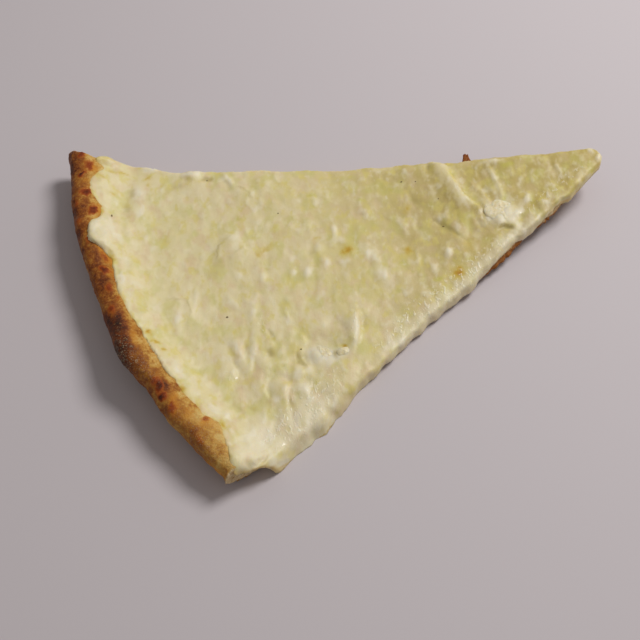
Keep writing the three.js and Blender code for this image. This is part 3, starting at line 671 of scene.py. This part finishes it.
def settleBorder():
    # stretches the cheese to its border line and lays it on the rim, where it thins out
    points = Points(cheese.data)
    reach = Reach(points).at(points.angle)
    line = np.array(cheeseLook["border"])
    across, inwards = line[:, 0] - wedge["apex"][1], wedge["apex"][0] - line[:, 1]
    table = list(zip(np.arctan2(across, inwards), np.hypot(across, inwards), line[:, 2]))
    rimPlace = np.stack([points.arc, 0 * points.arc, 0 * points.arc], 1)
    goal = along(table, 1, points.angle) + cheeseLook["fringe"] * bumps(rimPlace, 3.4, 16, 2)
    shift = np.clip(goal - reach, -8, 6) * step(-90, -84, points.arc) * step(97, 92, points.arc)
    moved = shift * step(reach - 22, reach - 3, points.radius)
    border = reach + shift - points.radius - moved
    points.spread(moved)

    # the dough's height is read a little inside the cuts, so that there is always some
    x, y, inner = points.x.copy(), points.y.copy(), np.ones(len(points.x))
    for which in ("near", "far"):
        beyond, (dx, dy) = beyondCut(points, which), outwards(which)
        back = np.clip(beyond + 1.5, 0, None)
        x -= dx * back
        y -= dy * back
        inner *= step(1.2, -2.5, beyond)
    dough = Ground(crust).heights(x, y, border < 17)
    inner *= ~np.isnan(dough)
    dough = np.where(np.isnan(dough), 0, dough)
    lobes = 1 + 0.35 * bumps(points.places * (1, 1, 0), 5, 19, 2)
    run, full = np.clip(border, 0, None), along(table, 2, points.angle)
    melted, rounded = (1 - np.exp(-run / 8)) ** 1.3, 0.8 * (1 - np.exp(-run / 2.6)) ** 0.6
    thick = 0.45 * full - 0.3 + cheeseLook["thickness"] * (melted + (rounded - melted) * full) * lobes
    z = points.places[:, 2]
    laid = z + (dough + thick - z) * step(15, 7, border)
    sunk = np.minimum(z, dough - 0.5)
    upper = step(-0.1, 0.5, points.upward)
    points.places[:, 2] += (sunk + (laid - sunk) * upper - z) * inner
    points.write()
    return border, full


def wanderEdge(points):
    # lets the cheese's edge wander in and out along both cuts
    draped = step(6.0, 3.4, points.z - underside(points.x)) * step(-3, -0.5, beyondCut(points, "near"))
    points.places[:, 2] -= draped * along(cheeseLook["drape"], 1, points.x)
    lobes = bumps(points.places * (1, 1, 0.5), 7, 20, 2) * step(-8, -30, points.x)
    for which in ("near", "far"):
        edge = step(-7, 0, beyondCut(points, which))
        out, down = (along(cheeseLook[which + "Edge"], column, points.x) for column in (1, 2))
        points.slide(outwards(which), edge * (out + cheeseLook["drip"] * lobes))
        points.places[:, 2] -= edge * down


def calmMounds():
    # smooths the skin over and round the curds
    points = Points(cheese.data)
    chosen = np.zeros(len(points.x), bool)
    for node, _, _ in cheeseForm["filling"]:
        low, high = (np.array(corner) / mm - wedge["corner"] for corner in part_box(node))
        middle, half = (low + high) / 2, (high - low) / 2
        chosen |= np.hypot((points.x - middle[0]) / half[0], (points.y - middle[1]) / half[1]) < 1.8
    chosen &= (points.upward > -0.3) & (beyondCut(points, "near") < -2.5)
    soften(cheese.data, cheeseLook["calm"], chosen)


def shapeCheese():
    calmMounds()
    border, full = settleBorder()
    points = Points(cheese.data)
    top = step(0.15, 0.6, points.upward)
    low = step(-0.2, -0.6, points.upward)
    side = (1 - top) * (1 - low)
    nearEdge = -beyondCut(points, "near")
    settled = step(0.5, 7, border)

    swollen = np.clip(ovals(points.x, points.y, cheeseLook["swollen"]), 0, 1)
    pillows = np.abs(bumps(points.places, 8, 12, 1, 1.5, 67)) - 0.2
    dots = step(0.12, 0.7, bumps(points.places, 3.4, 21, 1, 1.4, 67))
    look = cheeseLook
    relief = (look["pillows"] + look["swollenPillows"] * swollen) * pillows
    relief += look["dots"] * dots * (1 - swollen)
    relief += look["waves"] * bumps(points.places, 6.5, 13, 2)
    relief += look["grain"] * bumps(points.places, 2.4, 11, 2, 1.5, 67)
    relief += look["swollenWaves"] * swollen * bumps(points.places, 3.4, 18, 2, 1.3, 60)
    relief += look["lip"] * step(7, 3, nearEdge) * step(-75, -55, points.x) * bumps(points.places, 2.4, 14, 2)
    spotX, spotY = warped(points, 3.0, 0.6, 44)
    relief += ovals(spotX, spotY, cheeseLook["lumps"], 1.3) + ovals(spotX, spotY, cheeseLook["hollows"], 1.1)
    relief += folds(spotX, spotY, cheeseLook["folds"]) + strokes(spotX, spotY, cheeseLook["ridges"])
    relief += strokes(spotX, spotY, cheeseLook["creases"])
    points.places[:, 2] += relief * top * settled
    points.swell(side * (0.3 * bumps(points.places, 4, 15, 2) + 0.16 * bumps(points.places, 1.9, 22, 2)))
    wanderEdge(points)
    points.places[:, 2] -= look["embedded"] * low
    points.places[:, 2] = np.maximum(points.places[:, 2], 0.05)
    points.write()
    soften(cheese.data, 8, (points.arc > 74) & (points.radius > 205))

    spotX, spotY = warped(points, 2.6, 0.9, 46)
    broken = 0.85 + 0.4 * bumps(points.places, 1.8, 17, 2)
    # a band along the near cut coloured lighter: paler cheese, and painted sheen of the wet edge
    nearBand = step(8, 2, nearEdge) * step(-140, -115, points.x) * step(-15, -60, points.x)
    # oil and painted shade along the folds' seams
    shadedSeams = strokes(spotX, spotY, [(*look["shadedSeam"], line) for _, _, _, line in look["folds"][look["seamed"]]])
    points.keep("milk", ovals(spotX, spotY, cheeseLook["milk"], 1.1) + 0.45 * dots + 0.6 * nearBand)
    points.keep("oil", ovals(spotX, spotY, cheeseLook["oil"], 1.0) + shadedSeams)
    points.keep("gold", ovals(spotX, spotY, cheeseLook["gold"], 0.8) * broken)
    points.keep("leaf", ovals(spotX, spotY, cheeseLook["leaf"], 0.8) * broken)
    points.keep("glint", strokes(points.x, points.y, cheeseLook["glints"]))
    # the relief's height, which the finish uses to paint the raised places lighter
    points.keep("height", 0.5 + 0.35 * relief)
    # the side walls, which the finish colours lighter as painted light
    points.keep("skirt", side)
    points.keep("thin", np.exp(-np.clip(border, 0, None) / 1.8) * (1 - 0.85 * full) * (border < 20))
    points.keep("rich", step(-205, -30, points.x))


shapeCheese()
shadeSmooth(cheese)
print("cheese shaped:", len(cheese.data.polygons))


curdForm = {
    # how many lumps each is pressed together from
    "ricotta_1": {"name": "curdPoint", "seed": 21, "lumps": 16},
    "ricotta_2": {"name": "curdFold", "seed": 22, "lumps": 9},
    "ricotta_3": {"name": "curdFoldSmall", "seed": 23, "lumps": 6},
    "voxel": 0.34,  # mm
    "lumpSize": (0.3, 0.5),  # smallest and largest, as shares of the curd
    "scatter": 0.66,  # how far out they lie, also a share
    "core": 0.86,  # size of the core that holds them together
    "rough": 0.16,  # mm
    "melted": 34,  # how often the lumps are smoothed into each other
    "sunk": 0.85,  # mm, so that they lie low in the cheese
}


def addBall(bm, subdivisions, size, place):
    verts = bmesh.ops.create_icosphere(bm, subdivisions=subdivisions, radius=1)["verts"]
    bmesh.ops.scale(bm, vec=size, verts=verts)
    bmesh.ops.translate(bm, vec=place, verts=verts)


def makeCurd(node, form):
    low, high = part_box(node)
    middle, half = (low + high) / 2 - Vector((0, 0, curdForm["sunk"] * mm)), (high - low) / 2
    rng = random.Random(form["seed"])
    bm = bmesh.new()
    for _ in range(form["lumps"]):
        size = rng.uniform(*curdForm["lumpSize"]) * half.x
        around, out = rng.uniform(0, 2 * math.pi), math.sqrt(rng.uniform(0, 1)) * curdForm["scatter"]
        place = Vector((math.cos(around) * out * half.x, math.sin(around) * out * half.y,
                        rng.uniform(-0.1, 0.3) * half.z * (1 - 0.6 * out)))
        addBall(bm, 3, (size, size, min(size, half.z * 0.6)), middle + place)
    addBall(bm, 4, half * curdForm["core"], middle - Vector((0, 0, 0.1 * half.z)))
    piece = newPiece(form["name"], bm)
    evenOut(piece, curdForm["voxel"])
    soften(piece.data, curdForm["melted"])
    points = Points(piece.data)
    grain = cells(points.places, 1.6, form["seed"])
    points.swell(curdForm["rough"] * (bumps(points.places, 2.4, form["seed"], 2) + 0.8 * (0.4 - grain)))
    points.write()
    points.keep("grain", 1 - grain)
    return shadeSmooth(piece)


curds = {node: makeCurd(node, curdForm[node]) for node in ("ricotta_1", "ricotta_2", "ricotta_3")}
print("curds made:", len(curds))


speckForm = {
    # x, y, half length, half width, turn
    "places": [(-210, 51.5, 0.8, 0.42, 65), (-180.5, -12.6, 0.5, 0.4, 0), (-142, 30.4, 0.32, 0.28, 40),
               (-86, 24.2, 0.5, 0.34, 30), (-75.6, 8.4, 0.3, 0.26, 0), (-80.5, 21.4, 0.3, 0.26, 0),
               (-164.5, 61.2, 0.45, 0.3, 20), (-79.5, -5.2, 0.5, 0.28, -30), (-158.2, -38.3, 0.4, 0.3, 0)],
    "thickness": 0.25,
}


def makeSpecks():
    # one mesh of small rough lumps lying on the cheese
    ground = Ground(cheese)
    rng = random.Random(31)
    bm = bmesh.new()
    for x, y, long, wide, turn in speckForm["places"]:
        hit = ground.hit(x, y)
        if not hit:
            continue
        made = bmesh.ops.create_icosphere(bm, subdivisions=2, radius=1)["verts"]
        for vert in made:
            vert.co *= 1 + rng.uniform(-0.18, 0.18)
        bmesh.ops.scale(bm, vec=[size * mm for size in (long, wide, speckForm["thickness"])], verts=made)
        spin = Matrix.Rotation(math.radians(turn), 4, "Z")
        bmesh.ops.transform(bm, matrix=Matrix.Translation(hit) @ spin, verts=made)
    return shadeSmooth(newPiece("pepperSpecks", bm))


specks = makeSpecks()
print("specks made")


class Wire:
    # a shader socket that sums can be written with
    def __init__(self, finish, socket):
        self.finish, self.socket = finish, socket

    def maths(self, operation, first, second):
        return self.finish.node("ShaderNodeMath", {"operation": operation}, {0: first, 1: second})

    def __add__(self, other):
        return self.maths("ADD", self, other)

    def __radd__(self, other):
        return self.maths("ADD", other, self)

    def __sub__(self, other):
        return self.maths("SUBTRACT", self, other)

    def __rsub__(self, other):
        return self.maths("SUBTRACT", other, self)

    def __mul__(self, other):
        return self.maths("MULTIPLY", self, other)

    def __rmul__(self, other):
        return self.maths("MULTIPLY", other, self)


class Finish:
    # a material under construction
    def __init__(self, name):
        self.material = bpy.data.materials.new(name)
        self.material.use_nodes = True
        self.tree = self.material.node_tree
        self.tree.nodes.clear()
        self.where = self.node("ShaderNodeTexCoord", out="Object")

    def node(self, kind, settings=None, sockets=None, out=0):
        made = self.tree.nodes.new(kind)
        for key, value in (settings or {}).items():
            if key == "stops":
                ramp = made.color_ramp.elements
                ramp[0].position, ramp[0].color = value[0]
                ramp[1].position, ramp[1].color = value[-1]
                for place, tint in value[1:-1]:
                    ramp.new(place).color = tint
            else:
                setattr(made, key, value)
        for key, value in (sockets or {}).items():
            if isinstance(value, Wire):
                self.tree.links.new(value.socket, made.inputs[key])
            else:
                made.inputs[key].default_value = value
        return Wire(self, made.outputs[out]) if out is not None else None

    def attribute(self, name):
        return self.node("ShaderNodeAttribute", {"attribute_name": name}, out="Fac")

    def noise(self, size, detail=3, rough=0.5, stretch=1, turn=0, shift=0):
        # 0 to 1, in lumps of the given size in mm, longer by stretch along the turned X
        sockets = {"Vector": self.where, "Rotation": (0, 0, math.radians(turn)), "Location": [shift * mm] * 3,
                   "Scale": (size * stretch * mm, size * mm, size * mm)}
        place = self.node("ShaderNodeMapping", {"vector_type": "TEXTURE"}, sockets)
        return self.node("ShaderNodeTexNoise", None,
                         {"Vector": place, "Scale": 1, "Detail": detail, "Roughness": rough})

    def between(self, value, low, high):
        # smooth 0 to 1 as the value goes from low to high
        return self.node("ShaderNodeMapRange", {"interpolation_type": "SMOOTHSTEP"},
                         {"Value": value, "From Min": low, "From Max": high})

    def ramp(self, value, *stops):
        return self.node("ShaderNodeValToRGB", {"stops": stops}, {0: value})

    def mix(self, amount, first, second):
        return self.node("ShaderNodeMix", {"data_type": "RGBA"}, {0: amount, 6: first, 7: second}, 2)

    def done(self, tint, roughness, height, deep, settings):
        # deep: how many mm a height of 1 stands proud
        normal = self.node("ShaderNodeBump", None, {"Height": height, "Distance": deep * mm, "Strength": 1.0})
        sockets = {"Base Color": tint, "Roughness": roughness, "Normal": normal, **settings}
        shader = self.node("ShaderNodeBsdfPrincipled", {"subsurface_method": "RANDOM_WALK"}, sockets)
        self.node("ShaderNodeOutputMaterial", None, {"Surface": shader}, None)
        return self.material


def colour(red, green, blue):
    # from 0 to 255 as seen on a screen to the values that the shader takes
    return tuple(((v / 255 + 0.055) / 1.055) ** 2.4 for v in (red, green, blue)) + (1,)


cheeseTints = {
    "melted": colour(222, 206, 140),  # yellow with a little green
    "cream": colour(230, 213, 168),
    "light": colour(238, 225, 182),  # towards the rim, and as painted light on the raised relief
    "rich": colour(195, 173, 99),  # towards the point
    "green": colour(210, 202, 116),
    "blush": colour(226, 202, 158),
    "yellow": colour(224, 208, 120),
    "milk": colour(242, 232, 206),
    # olive of pooled oil, and painted shade in the hollows and creases
    "hollow": colour(184, 166, 98),
    "toasted": [(0.0, colour(222, 202, 118)), (0.35, colour(214, 188, 88)), (0.65, colour(204, 162, 56)),
                (1.0, colour(188, 124, 30))],
    "leaf": colour(204, 194, 88),
    "stain": colour(216, 178, 92),  # where it thins out on the rim
    # painted light: the side walls are a lighter cream than the top, so they do not look shaded
    "side": colour(238, 221, 176),
    "paintedGlint": colour(252, 244, 216),  # painted highlight: the wet beads coloured near white as sparkles
    "dryGloss": 0.46,  # roughness where the fat has soaked in
    "wetGloss": 0.2,  # and where it stands on the cheese
}


def cheeseFinish():
    f = Finish("meltedCheese")
    milk, oil, gold, leaf, glint = (f.attribute(name) for name in ("milk", "oil", "gold", "leaf", "glint"))
    height, side, thin, rich = (f.attribute(name) for name in ("height", "skirt", "thin", "rich"))
    patches = f.noise(4.5, 2, 0.55, 1.3, 67)
    clouds = f.noise(13, 2, 0.5, shift=3)
    greens = f.noise(8, 2, 0.5, 1.3, 60, 31)
    blushes = f.noise(6, 2, 0.5, 1.4, 75, 20)
    pips = f.noise(2.6, 1, 0.5, 1.5, 67, 40)
    warm = f.noise(4.2, 2, 0.55, 1.4, 70, 12)
    grain = f.noise(0.6, 3, 0.6, 1.3, 67)
    # beads of fat where the cheese glints: glossy, raised, and coloured as painted highlights
    glintBeads = f.between(f.noise(1.2, 1, 0.5, 1.5, 67, 6), 0.56, 0.7) * glint
    t = cheeseTints
    tint = f.mix(f.between(clouds + (patches - 0.5) * 0.5, 0.3, 0.7), t["melted"], t["cream"])
    tint = f.mix(f.between(rich + (clouds - 0.5) * 0.5, 0.55, 0.0) * 0.6, tint, t["light"])
    tint = f.mix(f.between(rich + (clouds - 0.5) * 0.6, 0.3, 1.12), tint, t["rich"])
    tint = f.mix(f.between(blushes, 0.46, 0.68) * (0.75 - rich * 0.4), tint, t["blush"])
    tint = f.mix(f.between(greens, 0.48, 0.68) * 0.5, tint, t["green"])
    # lighter in random patches, and painted light where the relief stands high
    tint = f.mix(f.between(patches + height * 0.5, 0.72, 1.0) * 0.5, tint, t["light"])
    tint = f.mix(f.between(warm, 0.5, 0.72) * 0.62, tint, t["yellow"])
    tint = f.mix(f.between(pips, 0.6, 0.8) * 0.3, tint, t["milk"])
    tint = f.mix(f.between(milk + (patches - 0.5) * 0.5, 0.05, 1.0) * 0.8, tint, t["milk"])
    # darker olive where oil pools, and painted shade in the hollows and creases
    tint = f.mix(f.between(oil + (patches - 0.5) * 0.4, 0.05, 1.0) * 0.7, tint, t["hollow"])
    tint = f.mix(f.between(leaf + (grain - 0.5) * 0.2, 0.0, 0.8) * 0.75, tint, t["leaf"])
    # painted light: the side walls coloured lighter
    tint = f.mix(side * 0.75, tint, t["side"])
    tint = f.mix(f.between(thin + (patches - 0.5) * 0.7, 0.2, 0.8) * 0.7, tint, t["stain"])
    tint = f.mix(f.between(gold + (grain - 0.5) * 0.1, 0.0, 0.6), tint, f.ramp(gold, *t["toasted"]))
    # painted highlight: the wet beads are coloured near white, as sparkles
    tint = f.mix(glintBeads * 0.75, tint, t["paintedGlint"])
    gloss = t["dryGloss"] - (t["dryGloss"] - t["wetGloss"]) * glintBeads + (clouds - 0.5) * 0.2
    settings = {"Subsurface Weight": 0.4, "Subsurface Radius": (1.0, 0.85, 0.6), "Subsurface Scale": 0.0018,
                "IOR": 1.44, "Coat Weight": glintBeads, "Coat Roughness": 0.1}
    return f.done(tint, gloss, grain * 0.3 + patches * 0.6 + glintBeads * 0.6, 0.22, settings)


crustTints = {
    "baked": [(0.0, colour(226, 196, 122)), (0.3, colour(206, 156, 74)), (0.45, colour(178, 118, 44)),
              (0.6, colour(150, 84, 26)), (0.75, colour(114, 54, 16)), (0.88, colour(76, 33, 13)),
              (1.0, colour(42, 22, 14))],
    "blister": [(0.15, colour(188, 100, 24)), (0.45, colour(146, 62, 10)), (0.75, colour(96, 36, 6)),
                (1.0, colour(48, 20, 6))],
    "halo": colour(206, 136, 40),
    "flour": colour(214, 186, 146),
    "freckle": colour(208, 162, 96),
    "crumb": colour(232, 210, 164),
    # a darker crumb: random tone, and painted shade in the holes
    "pore": colour(190, 148, 90),
    "toasted": colour(158, 98, 44),
    "under": colour(192, 152, 98),
    "underSpot": colour(104, 62, 30),
}


def crustFinish():
    f = Finish("bakedDough")
    bake, blister, halo, cut = (f.attribute(name) for name in ("bake", "blister", "halo", "cut"))
    under, flour, toast, pore = (f.attribute(name) for name in ("under", "flour", "toast", "pore"))
    mottle = f.noise(1.2, 4, 0.65)
    grain = f.noise(0.5, 3, 0.6)
    clouds = f.noise(8, 2, 0.5, shift=5)
    freckles = f.noise(0.9, 2, 0.6, shift=8)
    t = crustTints
    tint = f.ramp(bake + (mottle - 0.5) * 0.7 + (grain - 0.5) * 0.3, *t["baked"])
    tint = f.mix(f.between(halo + (mottle - 0.5) * 0.6, 0.15, 0.95) * 0.75, tint, t["halo"])
    tint = f.mix(f.between(freckles, 0.6, 0.75) * 0.4, tint, t["freckle"])
    scorched = f.ramp(blister + (mottle - 0.5) * 0.6, *t["blister"])
    tint = f.mix(f.between(blister + (mottle - 0.5) * 0.45, 0.02, 0.42), tint, scorched)
    powder = f.between(grain + (mottle - 0.5) * 0.5, 0.52, 0.7) * flour
    tint = f.mix(powder * 0.75, tint, t["flour"])
    spots = f.between(clouds + (mottle - 0.5) * 0.5, 0.5, 0.68)
    tint = f.mix(under, tint, f.mix(spots, t["under"], t["underSpot"]))
    crumb = f.mix(f.between(mottle, 0.35, 0.65) * 0.7, t["crumb"], t["pore"])
    # painted shade: the crumb's holes are coloured darker
    crumb = f.mix(pore * 0.8, crumb, t["pore"])
    crumb = f.mix(f.between(toast + (mottle - 0.5) * 0.6, 0.2, 0.9), crumb, t["toasted"])
    tint = f.mix(cut, tint, crumb)
    gloss = 0.62 - bake * 0.12 + (mottle - 0.5) * 0.2 + cut * 0.2
    settings = {"Subsurface Weight": 0.05, "Subsurface Radius": (1.0, 0.5, 0.25), "Subsurface Scale": 0.001,
                "IOR": 1.38, "Specular IOR Level": 0.35}
    return f.done(tint, gloss, mottle * 0.8 + grain * 0.7, 0.45, settings)


curdTints = {
    "grain": [(0.2, colour(226, 208, 156)), (0.55, colour(236, 221, 178)), (0.9, colour(243, 232, 202))],
}


def ricottaFinish():
    f = Finish("ricottaCurd")
    grain, fine = f.attribute("grain"), f.noise(0.5, 3, 0.6)
    tint = f.ramp(grain * 0.7 + fine * 0.5, *curdTints["grain"])
    glintBeads = f.between(f.noise(1.3, 1, 0.5, shift=6), 0.54, 0.76)
    settings = {"Subsurface Weight": 0.4, "Subsurface Radius": (1.0, 0.85, 0.6), "Subsurface Scale": 0.0018,
                "IOR": 1.42, "Coat Weight": glintBeads, "Coat Roughness": 0.1}
    return f.done(tint, 0.4 + (fine - 0.5) * 0.3, fine * 0.4 + glintBeads * 0.6, 0.22, settings)


pepperTints = {"dark": colour(112, 90, 50), "pale": colour(158, 136, 86)}


def pepperFinish():
    f = Finish("pepper")
    mottle = f.noise(0.4, 3, 0.6)
    tint = f.mix(f.between(mottle, 0.35, 0.65), pepperTints["dark"], pepperTints["pale"])
    return f.done(tint, 0.5 + (mottle - 0.5) * 0.2, mottle, 0.1, {"IOR": 1.42})


def dress(piece, material, replaced=()):
    piece.data.materials.clear()
    piece.data.materials.append(material)
    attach(piece, "root")
    if replaced:
        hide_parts(*replaced)


dress(crust, crustFinish(), ["crust"])
dress(cheese, cheeseFinish(), ["cheese"])
curdMaterial = ricottaFinish()
for node, piece in curds.items():
    dress(piece, curdMaterial, [node])
dress(specks, pepperFinish())
print("finishes made:", len(bpy.data.materials))


studio = {
    "eye": (-229.5, -255.2, 371.7),  # mm of the wedge, as all places here
    "right": (0.9271, -0.3743, -0.0206),
    "forward": (0.1906, 0.5180, -0.8339),
    "lens": 60.51,
    "keyFrom": (0.62, 0.15, 0.77),
    "keyAway": 1.15,  # m
    "keySize": 0.45,
    "keyPower": 9.0,
    "fill": 0.26,
    "floor": colour(206, 197, 199),
}


def makeStudio():
    scene = bpy.context.scene
    right, forward = Vector(studio["right"]).normalized(), Vector(studio["forward"])
    forward = (forward - right * forward.dot(right)).normalized()
    camera = bpy.data.objects.new("camera", bpy.data.cameras.new("camera"))
    camera.data.lens, camera.data.sensor_width = studio["lens"], 36
    camera.data.clip_start, camera.data.clip_end = 0.01, 20
    turn = Matrix((right, right.cross(forward), -forward)).transposed().to_4x4()
    camera.matrix_world = Matrix.Translation(toPart(*studio["eye"])) @ turn
    scene.collection.objects.link(camera)
    scene.camera = camera

    key = bpy.data.objects.new("softKey", bpy.data.lights.new("softKey", "AREA"))
    key.data.shape, key.data.size, key.data.energy = "DISK", studio["keySize"], studio["keyPower"]
    towards = Vector(studio["keyFrom"]).normalized()
    key.location = toPart(-120, 0, 10) + towards * studio["keyAway"]
    key.rotation_euler = towards.to_track_quat("Z", "Y").to_euler()
    scene.collection.objects.link(key)

    scene.world = bpy.data.worlds.new("studio")
    scene.world.use_nodes = True
    sky = scene.world.node_tree.nodes["Background"]
    sky.inputs["Color"].default_value = (1.0, 0.97, 0.95, 1)
    sky.inputs["Strength"].default_value = studio["fill"]
    scene.view_settings.view_transform = "Standard"
    scene.view_settings.exposure = 0

    bm = bmesh.new()
    bmesh.ops.create_grid(bm, x_segments=4, y_segments=4, size=2.0)
    floor = newPiece("floor", bm)
    f = Finish("paleFloor")
    cloud = f.noise(60, 2, 0.5)
    floor.data.materials.append(f.done(studio["floor"], 0.75, cloud, 0.01, {}))


makeStudio()
print("studio ready")
